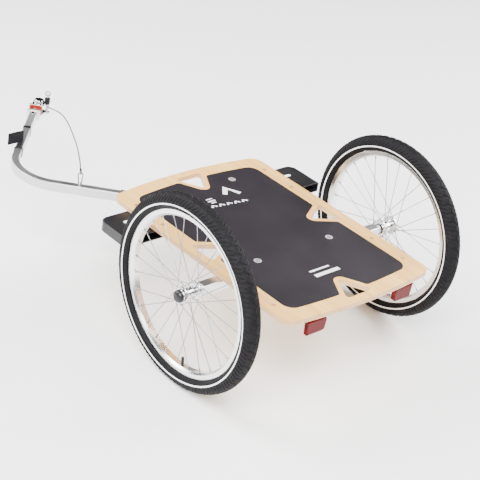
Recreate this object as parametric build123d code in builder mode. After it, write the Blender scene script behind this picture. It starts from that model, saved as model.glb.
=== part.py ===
"""Two-wheeled flatbed cargo trailer for a bicycle, with a side-mounted J-shaped tow arm."""
import os
from math import asin, cos, degrees, pi, radians, sin, sqrt, tan

from build123d import *

# Sizes are in millimetres. +X is the towing direction, +Y is the left side, +Z is up.
# The ground is z = 0, and every x below is counted from the wheels' axis.

# wheels
tyre_radius = 250.0
tyre_width = 46.0
tyre_wall = 3.2
wheel_y = 348.0
guard_tyre_lap = 11.0
rim_drop = 40.5
rim_radius = tyre_radius - rim_drop
rim_width = 25.6
rim_height = 15.5
rim_inner_radius = rim_radius - rim_height
rim_wall = 2.2
spokes_per_side = 14
spoke_radius = 1.0
spoke_crossings = 2
hub_flange_radius = 25.0
hub_hole_circle = 21.0
hub_flange_out = 17.0
hub_flange_in = -25.0
hub_flange_wall = 3.0
hub_out = 20.0
hub_in = -27.5
hub_barrel_radius = 13.5
bearing_radius = 12.0
bearing_width = 6.0
axle_radius = 6.0

# frame tube and its pads, which set the deck's height
tube_size = 28.0
tube_wall = 2.5
pad_wall = 1.2
hub_z = tyre_radius
tube_bottom = hub_z - tube_size / 2
tube_top = hub_z + tube_size / 2
deck_bottom = tube_top + pad_wall

# deck
deck_front = 452.0
deck_rear = -260.0
deck_half_width = 251.0
deck_wall = 12.0
deck_corner = 32.0
deck_front_bow = 24.0
deck_rear_bow = 17.0
inlay_wall = 0.8
inlay_inset = 45.0
inlay_mouth_corner = 8.0
hold_side = 90.0
hold_corner = 8.0
hold_rim = 25.0
hold_margin = 13.5
strap_hole_radius = 6.0
strap_hole_rim = 26.0
strap_hole_steps = (-265.0, -154.0, 154.0, 265.0)

# frame
front_bolt_x = 357.0
front_bolt_y = 100.0
rear_bolt_y = 124.5
bolt_radius = 4.0
cup_washer_radius = 10.0
strap_wall = 4.0
strap_width = 30.0
strap_guard_inset = 7.0
strap_half_length = wheel_y - guard_tyre_lap - strap_guard_inset
quadrant_radius = 84.0
clamp_reach = 90.0

# wheel guards
guard_tyre_gap = 4.0
guard_length = 116.0
guard_rear = tyre_radius + guard_tyre_gap
guard_front = guard_rear + guard_length
guard_inner_y = 205.0
guard_outer_y = wheel_y - guard_tyre_lap
guard_height = 27.0
guard_wall = 3.0
guard_corner = 24.0

# tow arm
arm_width = 20.0
arm_height = 26.0
arm_gap = 3.0
arm_washer_wall = 1.1
arm_wall = 2.0
arm_heading = 45.0
arm_end_heading = -43.5
arm_bend_radius = 125.0
arm_first_run = 322.0
arm_second_run = 171.0
arm_end_run = 108.0
arm_tail = 18.0

# fits
running_gap = 0.05
pin_gap = 0.1
loose_gap = 0.3

# hitch, counted along the arm's end (s) and across it (t)
block_length = 30.0
block_width = 38.0
block_height = 30.0
plate_wall = 3.0
cheek_wall = 4.0
cheek_radius = 17.0
cheek_reach = 18.0
cheek_offset = -5.0
tongue_gap = 24.0
lock_pin_radius = 3.5
lock_pin_s = 24.0
lock_pin_t = -29.0

# safety cable
cable_diameter = 4.0
cable_route = [
    (975.0, 77.5, 256.0),
    (939.0, 71.5, 260.0),
    (893.0, 81.0, 265.5),
    (845.0, 101.0, 270.5),
    (796.5, 124.0, 275.0),
    (747.0, 149.5, 279.5),
    (697.0, 176.0, 283.5),
    (647.0, 205.0, 287.5),
    (606.0, 231.0, 291.0),
    (581.0, 247.5, 294.0),
    (557.4, 263.2, 295.6),
]

deck_top = deck_bottom + deck_wall
deck_mid_x = (deck_front + deck_rear) / 2
arm_top = deck_bottom - arm_gap
arm_bottom = arm_top - arm_height
strap_top = arm_bottom - pin_gap - arm_washer_wall
arm_mid_z = arm_bottom + arm_height / 2

first_heading = radians(arm_heading)
end_heading = radians(arm_end_heading)
bend_start = (
    front_bolt_x + arm_first_run * cos(first_heading),
    front_bolt_y + arm_first_run * sin(first_heading),
)
bend_centre = (
    bend_start[0] + arm_bend_radius * sin(first_heading),
    bend_start[1] - arm_bend_radius * cos(first_heading),
)
bend_end = (
    bend_centre[0] - arm_bend_radius * sin(end_heading),
    bend_centre[1] + arm_bend_radius * cos(end_heading),
)
arm_tip = (
    bend_end[0] + (arm_second_run + arm_end_run) * cos(end_heading),
    bend_end[1] + (arm_second_run + arm_end_run) * sin(end_heading),
)

# The object's middle length is x = 0, so the axle stands behind it.
head_s = 3 * plate_wall + block_length
cheek_s = head_s + cheek_wall + cheek_reach
front_reach = arm_tip[0] + cheek_s * cos(end_heading) - cheek_offset * sin(end_heading) + cheek_radius
axle_x = (-deck_rear - front_reach) / 2


def at(x, y, z=0.0):
    return (axle_x + x, y, z)


def level(height):
    return Plane(origin=at(0, 0, height), x_dir=(1, 0, 0), z_dir=(0, 0, 1))


def arm_end_level(height):
    tip = at(arm_tip[0], arm_tip[1], height)
    return Plane(origin=tip, x_dir=(cos(end_heading), sin(end_heading), 0), z_dir=(0, 0, 1))


def arm_level(height):
    pivot = at(front_bolt_x, front_bolt_y, height)
    return Plane(origin=pivot, x_dir=(cos(first_heading), sin(first_heading), 0), z_dir=(0, 0, 1))


# A wheel's profile is drawn with y away from the trailer and r from the axis, and turned about the axis.
wheel_plane = Plane(origin=at(0, wheel_y, hub_z), x_dir=(0, 1, 0), z_dir=(1, 0, 0))
wheel_axis = Axis(at(0, wheel_y, hub_z), (0, 1, 0))
wheel_side = Plane(origin=at(0, wheel_y, hub_z), x_dir=(1, 0, 0), z_dir=(0, 1, 0))

made = []


def finish(builder, name):
    builder.part.label = name
    made.append(builder.part)


def finish_pair(builder, name):
    finish(builder, name + "_left")
    with BuildPart() as right:
        add(mirror(builder.part, about=Plane.XZ))
    finish(right, name + "_right")


# ---- deck: one plywood panel with bowed ends, four triangular hand-holds and eight strap holes ----
hold_height = hold_side * sqrt(3) / 2
hold_places = [
    (deck_front - hold_rim, 0.0, 180.0),
    (deck_rear + hold_rim, 0.0, 0.0),
    (deck_mid_x, deck_half_width - hold_rim, 270.0),
    (deck_mid_x, hold_rim - deck_half_width, 90.0),
]


def hold_triangle(margin):
    # The base lies on the local line x = 0, and the tip points along +x.
    grow = margin / tan(radians(30))
    with BuildSketch(Plane.XY) as triangle:
        with BuildLine():
            Polyline(
                (-margin, -hold_side / 2 - grow),
                (hold_height + 2 * margin, 0),
                (-margin, hold_side / 2 + grow),
                close=True,
            )
        make_face()
        fillet(triangle.vertices(), hold_corner + margin)
    return triangle.sketch


def deck_outline(inset):
    with BuildSketch(Plane.XY) as outline:
        with BuildLine():
            side = deck_half_width
            Line((deck_rear + deck_rear_bow, -side), (deck_front - deck_front_bow, -side))
            ThreePointArc(
                (deck_front - deck_front_bow, -side), (deck_front, 0), (deck_front - deck_front_bow, side)
            )
            Line((deck_front - deck_front_bow, side), (deck_rear + deck_rear_bow, side))
            ThreePointArc((deck_rear + deck_rear_bow, side), (deck_rear, 0), (deck_rear + deck_rear_bow, -side))
        make_face()
        if inset:
            offset(amount=-inset, mode=Mode.REPLACE)
        fillet(outline.vertices(), deck_corner)
    return outline.sketch


bolt_places = [
    (front_bolt_x, front_bolt_y),
    (front_bolt_x, -front_bolt_y),
    (0.0, rear_bolt_y),
    (0.0, -rear_bolt_y),
]
front_places = bolt_places[:2]
rear_places = bolt_places[2:]
hole_y = deck_half_width - strap_hole_rim
hole_places = [(deck_mid_x + step, side * hole_y) for step in strap_hole_steps for side in (-1, 1)]
whole_deck = deck_outline(0)
inner_deck = deck_outline(inlay_inset)
small_triangle = hold_triangle(0)
large_triangle = hold_triangle(hold_margin)

# The cup washers lie in the panel, and their rims are level with the inlay's top.
cup_washer_depth = 2.6
washer_bottom = deck_top - cup_washer_depth
washer_top = deck_top + inlay_wall
head_recess = 2.4

with BuildPart() as deck_panel:
    with BuildSketch(level(deck_bottom)):
        add(whole_deck)
        for x, y, turn in hold_places:
            with Locations(Location((x, y, 0), (0, 0, turn))):
                add(small_triangle, mode=Mode.SUBTRACT)
        with Locations(*hole_places):
            Circle(strap_hole_radius, mode=Mode.SUBTRACT)
        with Locations(*bolt_places):
            Circle(bolt_radius + pin_gap, mode=Mode.SUBTRACT)
    extrude(amount=deck_wall)
    with BuildSketch(level(deck_top)):
        with Locations(*bolt_places):
            Circle(cup_washer_radius + pin_gap)
    extrude(amount=-cup_washer_depth, mode=Mode.SUBTRACT)
finish(deck_panel, "deck_panel")

with BuildPart() as deck_inlay:
    with BuildSketch(level(deck_top)):
        add(inner_deck)
        for x, y, turn in hold_places:
            with Locations(Location((x, y, 0), (0, 0, turn))):
                add(large_triangle, mode=Mode.SUBTRACT)
        with Locations(*bolt_places):
            Circle(cup_washer_radius + pin_gap, mode=Mode.SUBTRACT)
    extrude(amount=inlay_wall)
    mouth_x = inlay_inset - hold_rim
    mouth_half = (hold_height + 2 * hold_margin - mouth_x) * tan(radians(30))
    mouth_corners = []
    for x, y, turn in hold_places:
        spot = Location(at(x, y, deck_top), (0, 0, turn))
        for side in (-1, 1):
            corner = (spot * Location((mouth_x, side * mouth_half, 0))).position
            mouth_corners.append(deck_inlay.edges().filter_by(Axis.Z).sort_by_distance(corner)[0])
    fillet(mouth_corners, inlay_mouth_corner)
finish(deck_inlay, "deck_inlay")

# ---- fasteners: a flush bolt in a cup washer at each of the deck's four fixing points ----
head_bottom = washer_top - head_recess
head_radius = 6.6
head_height = 2.2
head_taper = 15
nut_height = 6.8
nut_radius = 7.5
nut_sides = 6
thread_end = 1.5
socket_radius = 2.9
socket_depth = 1.7

with BuildPart() as cup_washers:
    with BuildSketch(level(washer_bottom)):
        with Locations(*bolt_places):
            Circle(cup_washer_radius)
            Circle(bolt_radius + pin_gap, mode=Mode.SUBTRACT)
    extrude(amount=washer_top - washer_bottom)
    with BuildSketch(level(washer_top)):
        with Locations(*bolt_places):
            Circle(head_radius + loose_gap)
    extrude(amount=-head_recess, mode=Mode.SUBTRACT)
finish(cup_washers, "cup_washers")

strap_bottom = strap_top - strap_wall
nut_seats = ((front_places, strap_bottom), (rear_places, tube_bottom))
with BuildPart() as deck_bolts:
    for places, seat in nut_seats:
        with BuildSketch(level(head_bottom)):
            with Locations(*places):
                Circle(bolt_radius)
        extrude(amount=seat - nut_height - thread_end - head_bottom)
    with BuildSketch(level(head_bottom)):
        with Locations(*bolt_places):
            Circle(head_radius)
    extrude(amount=head_height, taper=head_taper)
    with BuildSketch(level(head_bottom + head_height)):
        with Locations(*bolt_places):
            RegularPolygon(radius=socket_radius, side_count=nut_sides)
    extrude(amount=-socket_depth, mode=Mode.SUBTRACT)
finish(deck_bolts, "deck_bolts")

with BuildPart() as lock_nuts:
    for places, seat in nut_seats:
        with BuildSketch(level(seat)):
            with Locations(*places):
                RegularPolygon(radius=nut_radius, side_count=nut_sides)
                Circle(bolt_radius, mode=Mode.SUBTRACT)
        extrude(amount=-nut_height)
finish(lock_nuts, "lock_nuts")

# ---- axle tube under the deck, on two rubber pads ----
axle_pad_length = 60.0
with BuildPart() as axle_pads:
    with BuildSketch(level(tube_top)):
        with Locations(*rear_places):
            Rectangle(tube_size, axle_pad_length)
            Circle(bolt_radius + pin_gap, mode=Mode.SUBTRACT)
    extrude(amount=pad_wall)
finish(axle_pads, "axle_pads")

tube_bore = tube_size - 2 * tube_wall
tube_corner = 3.0
seal_wall = 2.5
plug_length = 34.0
plug_flange = 5.0
plug_nose = 12.7
plug_nose_radius = 12.0
nose_end = wheel_y + hub_in - seal_wall - loose_gap
tube_half_length = nose_end - plug_nose - plug_flange
with BuildPart() as axle_tube:
    with BuildSketch(Plane(origin=at(0, 0, hub_z), x_dir=(1, 0, 0), z_dir=(0, 1, 0))):
        RectangleRounded(tube_size, tube_size, tube_corner)
        Rectangle(tube_bore, tube_bore, mode=Mode.SUBTRACT)
    extrude(amount=tube_half_length, both=True)
    with BuildSketch(level(tube_bottom)):
        with Locations(*rear_places):
            Circle(bolt_radius + pin_gap)
    extrude(amount=tube_size, mode=Mode.SUBTRACT)
finish(axle_tube, "axle_tube")

# A plug in each end of the tube carries the quick-release axle in its bore.
with BuildPart() as axle_receivers:
    for side in (-1, 1):
        out = (0, side, 0)
        with BuildSketch(Plane(origin=at(0, side * tube_half_length, hub_z), x_dir=(1, 0, 0), z_dir=out)):
            RectangleRounded(tube_size, tube_size, tube_corner)
        extrude(amount=plug_flange)
        with BuildSketch(Plane(origin=at(0, side * tube_half_length, hub_z), x_dir=(1, 0, 0), z_dir=out)):
            Rectangle(tube_bore - 2 * pin_gap, tube_bore - 2 * pin_gap)
        extrude(amount=-plug_length)
        with BuildSketch(Plane(origin=at(0, side * nose_end, hub_z), x_dir=(1, 0, 0), z_dir=out)):
            Circle(plug_nose_radius)
        extrude(amount=tube_half_length + plug_flange - nose_end)
        with BuildSketch(Plane(origin=at(0, side * nose_end, hub_z), x_dir=(1, 0, 0), z_dir=out)):
            Circle(axle_radius + running_gap)
        extrude(amount=tube_half_length - plug_length - nose_end, mode=Mode.SUBTRACT)
finish(axle_receivers, "axle_receivers")

# ---- front strap: a flat bar with a quadrant for the arm's clamp, and its spacer and washers ----
with BuildPart() as front_strap:
    with BuildSketch(level(strap_top)):
        with Locations((front_bolt_x, 0)):
            SlotOverall(2 * strap_half_length, strap_width, rotation=90)
        with Locations((front_bolt_x, front_bolt_y)):
            Circle(quadrant_radius)
        with Locations((front_bolt_x - quadrant_radius - strap_width / 2, front_bolt_y)):
            Rectangle(2 * quadrant_radius, 3 * quadrant_radius, mode=Mode.SUBTRACT)
        with Locations((front_bolt_x, front_bolt_y), (front_bolt_x, -front_bolt_y)):
            Circle(bolt_radius + pin_gap, mode=Mode.SUBTRACT)
    extrude(amount=-strap_wall)
finish(front_strap, "front_strap")

spacer_radius = 10.0
with BuildPart() as strap_spacer:
    with BuildSketch(level(strap_top)):
        with Locations((front_bolt_x, -front_bolt_y)):
            Circle(spacer_radius)
            Circle(bolt_radius + pin_gap, mode=Mode.SUBTRACT)
    extrude(amount=deck_bottom - strap_top)
finish(strap_spacer, "strap_spacer")

pivot_washer_radius = 14.0
with BuildPart() as pivot_washers:
    for bottom, top in ((strap_top, arm_bottom - pin_gap), (arm_top + pin_gap, deck_bottom)):
        with BuildSketch(level(bottom)):
            with Locations((front_bolt_x, front_bolt_y)):
                Circle(pivot_washer_radius)
                Circle(bolt_radius + pin_gap, mode=Mode.SUBTRACT)
        extrude(amount=top - bottom)
finish(pivot_washers, "pivot_washers")

# ---- wheel guards: a hollow moulding ahead of each tyre, open towards the wheel ----
guard_top = strap_top + guard_height
guard_x = (guard_rear + guard_front) / 2
guard_y = (guard_inner_y + guard_outer_y) / 2
guard_rim_round = 0.8 * guard_wall
marker_forward = 12.0
marker_y = 281.0
marker_length = 22.0
marker_width = 9.0
marker_wall = 1.2
with BuildPart() as guard:
    with BuildSketch(level(strap_top)):
        with Locations((guard_x, guard_y)):
            Rectangle(guard_length, guard_outer_y - guard_inner_y)
    extrude(amount=guard_height)
    fillet(guard.edges().filter_by(Axis.Z).group_by(Axis.X)[-1].sort_by(Axis.Y)[-1], guard_corner)
    rear_face = guard.faces().sort_by(Axis.X)[0]
    offset(amount=-guard_wall, openings=rear_face)
    fillet(guard.faces().sort_by(Axis.Z)[-1].outer_wire().edges(), guard_rim_round)
finish_pair(guard, "wheel_guard")

with BuildPart() as guard_markers:
    with BuildSketch(level(guard_top)):
        for side in (-1, 1):
            with Locations((guard_x + marker_forward, side * marker_y)):
                SlotOverall(marker_length, marker_width, rotation=90)
    extrude(amount=marker_wall)
finish(guard_markers, "guard_markers")

# ---- rear reflectors on brackets under the deck's rear edge ----
reflector_inset = 22.0
reflector_x = deck_rear + reflector_inset
reflector_y = 151.0
reflector_width = 66.0
reflector_height = 38.0
reflector_wall = 12.0
reflector_drop = 6.0
reflector_slant = 4.0
reflector_corner = 9.0
reflector_edge = 3.0
bracket_wall = 2.0
bracket_reach = 24.0
bracket_width = 30.0
rivet_radius = 2.5
lens_place = at(reflector_x, reflector_y, deck_bottom - reflector_drop)
lens_plane = Plane(origin=lens_place, x_dir=(0, -1, 0), z_dir=(-1, 0, 0))
with BuildPart() as reflector:
    with BuildSketch(lens_plane) as lens_sketch:
        with BuildLine():
            half = reflector_width / 2
            foot = half - reflector_slant
            Polyline((-half, 0), (-foot, -reflector_height), (foot, -reflector_height), (half, 0), close=True)
        make_face()
        fillet(lens_sketch.vertices().sort_by(Axis.Z)[:2], reflector_corner)
    extrude(amount=reflector_wall)
    fillet(reflector.faces().sort_by(Axis.X)[0].edges(), reflector_edge)
finish_pair(reflector, "rear_reflector")

with BuildPart() as reflector_brackets:
    for side in (-1, 1):
        with BuildSketch(level(deck_bottom)):
            with Locations((reflector_x + bracket_reach / 2, side * reflector_y)):
                Rectangle(bracket_reach, bracket_width)
                Circle(rivet_radius, mode=Mode.SUBTRACT)
        extrude(amount=-bracket_wall)
        with BuildSketch(level(deck_bottom)):
            with Locations((reflector_x + bracket_wall / 2, side * reflector_y)):
                Rectangle(bracket_wall, bracket_width)
        extrude(amount=-reflector_height)
finish(reflector_brackets, "reflector_brackets")

# ---- left wheel; the right one is its mirror image ----
tyre_middle_radius = tyre_radius - tyre_width / 2
bead_radius = rim_radius - 6.5
bead_y = rim_width / 2 - rim_wall - pin_gap
wall_radius = rim_radius + 1.2
bead_wall = 3.5

with BuildPart() as tyre:
    with BuildSketch(wheel_plane):
        with BuildLine():
            outer_y = sqrt((tyre_width / 2) ** 2 - (wall_radius - tyre_middle_radius) ** 2)
            inner_y = bead_y - bead_wall
            ThreePointArc((outer_y, wall_radius), (0, tyre_radius), (-outer_y, wall_radius))
            Polyline((-outer_y, wall_radius), (-bead_y, wall_radius), (-bead_y, bead_radius))
            Polyline((-bead_y, bead_radius), (-inner_y, bead_radius), (-inner_y, wall_radius))
            ThreePointArc((-inner_y, wall_radius), (0, tyre_radius - tyre_wall), (inner_y, wall_radius))
            Polyline((inner_y, wall_radius), (inner_y, bead_radius), (bead_y, bead_radius))
            Polyline((bead_y, bead_radius), (bead_y, wall_radius), (outer_y, wall_radius))
        make_face()
    revolve(axis=wheel_axis)
finish_pair(tyre, "tyre")

nipple_radius = 1.9
nipple_length = 12.0
rim_bed = rim_inner_radius + 3.0
rim_chamfer = 5.0
bed_chamfer = 4.0
nipple_hole = nipple_radius + 0.9
valve_hole = 3.3
drill_length = 14.0
valve_angle = 90 + 90 / spokes_per_side
with BuildPart() as rim:
    with BuildSketch(wheel_plane):
        with BuildLine():
            edge_y = rim_width / 2
            inside_y = edge_y - rim_wall
            Polyline(
                (-edge_y, rim_radius),
                (-edge_y, rim_inner_radius + rim_chamfer),
                (-edge_y + rim_chamfer, rim_inner_radius),
                (edge_y - rim_chamfer, rim_inner_radius),
                (edge_y, rim_inner_radius + rim_chamfer),
                (edge_y, rim_radius),
                (inside_y, rim_radius),
                (inside_y, rim_bed + bed_chamfer),
                (inside_y - bed_chamfer, rim_bed),
                (bed_chamfer - inside_y, rim_bed),
                (-inside_y, rim_bed + bed_chamfer),
                (-inside_y, rim_radius),
                close=True,
            )
        make_face()
    revolve(axis=wheel_axis)
    with Locations(wheel_side):
        with PolarLocations(rim_inner_radius, 2 * spokes_per_side):
            Cylinder(nipple_hole, drill_length, rotation=(0, 90, 0), mode=Mode.SUBTRACT)
        with Locations(Location((0, 0, 0), (0, 0, valve_angle))):
            with Locations((rim_inner_radius, 0, 0)):
                Cylinder(valve_hole, drill_length, rotation=(0, 90, 0), mode=Mode.SUBTRACT)
finish_pair(rim, "rim")

# Each side's spokes leave the flange's two faces in turn and lean forwards and back.
spoke_step = 360 / spokes_per_side
elbow_reach = hub_flange_wall / 2 + 2.0
spoke_end_radius = rim_bed + 1.5
elbow_radius = 1.2 * spoke_radius
spoke_head_radius = 1.9
spoke_head_height = 1.2


def spoke(flange_y, face, lean):
    # A spoke starts at angle 0 on the hub: face is the flange's side it leaves, lean its turn's sign.
    start = Vector(hub_hole_circle, 0, flange_y + face * elbow_reach)
    angle = radians(lean * spoke_crossings * spoke_step)
    end = Vector(spoke_end_radius * cos(angle), spoke_end_radius * sin(angle), 0)
    path = (end - start).normalized()
    head = Vector(hub_hole_circle, 0, flange_y - face * (hub_flange_wall / 2))
    with BuildPart() as wire:
        with BuildSketch(Plane(origin=start, z_dir=path)):
            Circle(spoke_radius)
        extrude(amount=(end - start).length - nipple_length / 2)
        with BuildSketch(Plane(origin=end, z_dir=path)):
            Circle(nipple_radius)
        extrude(amount=-nipple_length)
        with BuildSketch(Plane(origin=head, z_dir=(0, 0, face))):
            Circle(spoke_radius)
        extrude(amount=hub_flange_wall / 2 + elbow_reach)
        with Locations(start):
            Sphere(elbow_radius)
        with BuildSketch(Plane(origin=head, z_dir=(0, 0, -face))):
            Circle(spoke_head_radius)
        extrude(amount=spoke_head_height)
    return wire.part


flanges = ((hub_flange_out, 0.0), (hub_flange_in, spoke_step / 2))
spoke_patterns = [(shift, [spoke(flange_y, 1, 1), spoke(flange_y, -1, -1)]) for flange_y, shift in flanges]

with BuildPart() as spokes:
    with Locations(wheel_side):
        for shift, pattern in spoke_patterns:
            for i in range(spokes_per_side):
                with Locations(Location((0, 0, 0), (0, 0, i * spoke_step + shift))):
                    add(pattern[i % 2])
finish_pair(spokes, "spokes")

end_barrel_radius = bearing_radius + 3.0
barrel_cone = 10.0
spoke_hole = spoke_radius + 0.2
spoke_drill = 1.2 * hub_flange_wall
with BuildPart() as hub:
    with BuildSketch(wheel_plane):
        with BuildLine():
            flange_half = hub_flange_wall / 2
            Polyline(
                (hub_in, bearing_radius),
                (hub_in, end_barrel_radius),
                (hub_flange_in - flange_half, end_barrel_radius),
                (hub_flange_in - flange_half, hub_flange_radius),
                (hub_flange_in + flange_half, hub_flange_radius),
                (hub_flange_in + flange_half, end_barrel_radius),
                (hub_flange_in + barrel_cone, hub_barrel_radius),
                (hub_flange_out - barrel_cone, hub_barrel_radius),
                (hub_flange_out - flange_half, end_barrel_radius),
                (hub_flange_out - flange_half, hub_flange_radius),
                (hub_flange_out + flange_half, hub_flange_radius),
                (hub_flange_out + flange_half, end_barrel_radius),
                (hub_out, end_barrel_radius),
                (hub_out, bearing_radius),
                (hub_out - bearing_width, bearing_radius),
                (hub_out - bearing_width, axle_radius + 2),
                (hub_in + bearing_width, axle_radius + 2),
                (hub_in + bearing_width, bearing_radius),
                close=True,
            )
        make_face()
    revolve(axis=wheel_axis)
    with Locations(wheel_side):
        for flange_y, shift in flanges:
            with Locations(Location((0, 0, flange_y), (0, 0, shift))):
                with PolarLocations(hub_hole_circle, spokes_per_side):
                    Cylinder(spoke_hole, spoke_drill, mode=Mode.SUBTRACT)
finish_pair(hub, "hub")

with BuildPart() as bearings:
    with BuildSketch(wheel_plane):
        for start in (hub_in, hub_out - bearing_width):
            with Locations((start + bearing_width / 2, (bearing_radius + axle_radius + running_gap) / 2)):
                Rectangle(bearing_width, bearing_radius - axle_radius - running_gap)
    revolve(axis=wheel_axis)
finish_pair(bearings, "hub_bearings")

seal_radius = 14.0
seal_bore = axle_radius + loose_gap
with BuildPart() as seal:
    with BuildSketch(wheel_plane):
        with Locations((hub_in - seal_wall / 2, (seal_radius + seal_bore) / 2)):
            Rectangle(seal_wall, seal_radius - seal_bore)
    revolve(axis=wheel_axis)
finish_pair(seal, "hub_seal")

valve_radius = 3.0
valve_reach = 20.0
valve_cap_length = 18.0
valve_cap_radius = 3.9
valve_root = 4.0
with BuildPart() as valve:
    valve_turn = radians(valve_angle)
    outward = Vector(cos(valve_turn), 0, -sin(valve_turn))
    valve_tip = Vector(*at(0, wheel_y, hub_z)) + outward * (rim_inner_radius - valve_reach)
    with BuildSketch(Plane(origin=valve_tip, z_dir=outward)):
        Circle(valve_cap_radius)
    extrude(amount=valve_cap_length)
    with BuildSketch(Plane(origin=valve_tip, z_dir=outward)):
        Circle(valve_radius)
    extrude(amount=valve_reach + rim_bed - rim_inner_radius + valve_root)
finish_pair(valve, "valve")

# ---- quick-release axle: the pin, its domed cap and the push button in the cap ----
cap_radius = 16.0
cap_height = 13.0
cap_start = hub_out + 0.6
cap_rim = 4.0
cap_shoulder = 10.0
cap_shoulder_drop = 3.2
button_radius = 5.0
button_well = 7.0
pin_length = 90.0
with BuildPart() as axle_pin:
    with BuildSketch(wheel_plane):
        with Locations((cap_start - pin_length / 2, axle_radius / 2)):
            Rectangle(pin_length, axle_radius)
    revolve(axis=wheel_axis)
finish_pair(axle_pin, "axle_pin")

with BuildPart() as axle_cap:
    with BuildSketch(wheel_plane):
        with BuildLine():
            lip = button_radius + pin_gap
            well = cap_start + cap_height - button_well
            shoulder = (cap_start + cap_shoulder, cap_radius - cap_shoulder_drop)
            rim_edge = (cap_start + cap_rim, cap_radius)
            Polyline((well, 0), (cap_start, 0), (cap_start, cap_radius), rim_edge)
            ThreePointArc(rim_edge, shoulder, (cap_start + cap_height, lip + 2))
            Polyline((cap_start + cap_height, lip + 2), (cap_start + cap_height, lip), (well, lip), (well, 0))
        make_face()
    revolve(axis=wheel_axis)
finish_pair(axle_cap, "axle_cap")

button_travel = 3.0
button_stand = 0.5
button_length = button_well - button_travel
with BuildPart() as button:
    with BuildSketch(wheel_plane):
        with Locations((cap_start + cap_height + button_stand - button_length / 2, button_radius / 2)):
            Rectangle(button_length, button_radius)
    revolve(axis=wheel_axis)
finish_pair(button, "push_button")

# ---- tow arm: one flat-sided tube bent to a J, and a lighter end tube beyond a collar ----


def arm_strip(half, start, stop):
    # The outline of the arm's plan, from a run length before the pivot to one past the bend.
    bow = Vector(*bend_centre)
    middle = radians((arm_heading + arm_end_heading) / 2)
    crown = Vector(-sin(middle), cos(middle))
    ahead_1 = Vector(cos(first_heading), sin(first_heading))
    ahead_2 = Vector(cos(end_heading), sin(end_heading))
    left_1 = Vector(-sin(first_heading), cos(first_heading)) * half
    left_2 = Vector(-sin(end_heading), cos(end_heading)) * half
    tail = Vector(front_bolt_x, front_bolt_y) + ahead_1 * start
    tip = Vector(*bend_end) + ahead_2 * stop
    begin = Vector(*bend_start)
    end = Vector(*bend_end)
    with BuildSketch(Plane.XY) as strip:
        with BuildLine():
            Line(tail - left_1, begin - left_1)
            ThreePointArc(begin - left_1, bow + crown * (arm_bend_radius - half), end - left_2)
            Polyline(end - left_2, tip - left_2, tip + left_2, end + left_2)
            ThreePointArc(end + left_2, bow + crown * (arm_bend_radius + half), begin + left_1)
            Polyline(begin + left_1, tail + left_1, tail - left_1)
        make_face()
    return strip.sketch


clamp_place = (clamp_reach, 0)
half_circle = 180
eye_run = 253.0
eye_offset = 2.0
eye_half = 5.5
eye_wire = 1.5
eye_height = 6.5
arm_edge_round = 2.0
long_edge = 100.0
hitch_bolt_s = -12.0
hitch_bolt_radius = 3.0

with BuildPart() as arm_tube:
    with BuildSketch(level(arm_bottom)):
        add(arm_strip(arm_width / 2, -arm_tail, arm_second_run))
    extrude(amount=arm_height)
    fillet(arm_tube.edges().filter_by(Plane.XY).filter_by(lambda edge: edge.length > long_edge), arm_edge_round)
    with BuildSketch(level(arm_bottom + arm_wall)):
        add(arm_strip(arm_width / 2 - arm_wall, -arm_tail + arm_wall, arm_second_run + 1))
    extrude(amount=arm_height - 2 * arm_wall, mode=Mode.SUBTRACT)
    with BuildSketch(arm_level(arm_bottom)):
        with Locations((0, 0), clamp_place):
            Circle(bolt_radius + pin_gap)
    extrude(amount=arm_height, mode=Mode.SUBTRACT)
finish(arm_tube, "arm_tube")

# Lengths along the arm's end, s, are negative behind its tip.
end_tube_start = -arm_end_run
with BuildPart() as arm_end_tube:
    with BuildSketch(arm_end_level(arm_bottom)):
        with Locations((end_tube_start / 2, 0)):
            Rectangle(arm_end_run, arm_width)
    extrude(amount=arm_height)
    end_edges = arm_end_tube.edges().filter_by(Plane.XY).filter_by(lambda edge: edge.length > long_edge)
    fillet(end_edges, arm_edge_round)
    with BuildSketch(arm_end_level(arm_bottom + arm_wall)):
        with Locations((end_tube_start / 2, 0)):
            Rectangle(arm_end_run, arm_width - 2 * arm_wall)
    extrude(amount=arm_height - 2 * arm_wall, mode=Mode.SUBTRACT)
    with BuildSketch(arm_end_level(arm_bottom)):
        with Locations((hitch_bolt_s, 0)):
            Circle(hitch_bolt_radius + pin_gap)
    extrude(amount=arm_height, mode=Mode.SUBTRACT)
finish(arm_end_tube, "arm_end_tube")

collar_wall = 0.9
collar_length = 12.0
with BuildPart() as arm_collar:
    with BuildSketch(arm_end_level(arm_bottom - collar_wall)):
        with Locations((end_tube_start, 0)):
            Rectangle(collar_length, arm_width + 2 * collar_wall)
    extrude(amount=arm_height + 2 * collar_wall)
    with BuildSketch(arm_end_level(arm_bottom)):
        with Locations((end_tube_start, 0)):
            Rectangle(collar_length, arm_width)
    extrude(amount=arm_height, mode=Mode.SUBTRACT)
finish(arm_collar, "arm_collar")

pad_run = 136.0
pad_length = 16.0
pad_reach = 6.0
pad_height = 12.0
pad_drop = 14.0
pad_corner = 2.0
with BuildPart() as arm_pad:
    with BuildSketch(arm_level(arm_top - pad_drop)):
        with Locations((pad_run, -(arm_width + pad_reach) / 2)):
            Rectangle(pad_length, pad_reach)
    extrude(amount=pad_height)
    fillet(arm_pad.edges().filter_by(Axis.Z), pad_corner)
finish(arm_pad, "arm_pad")

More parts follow.
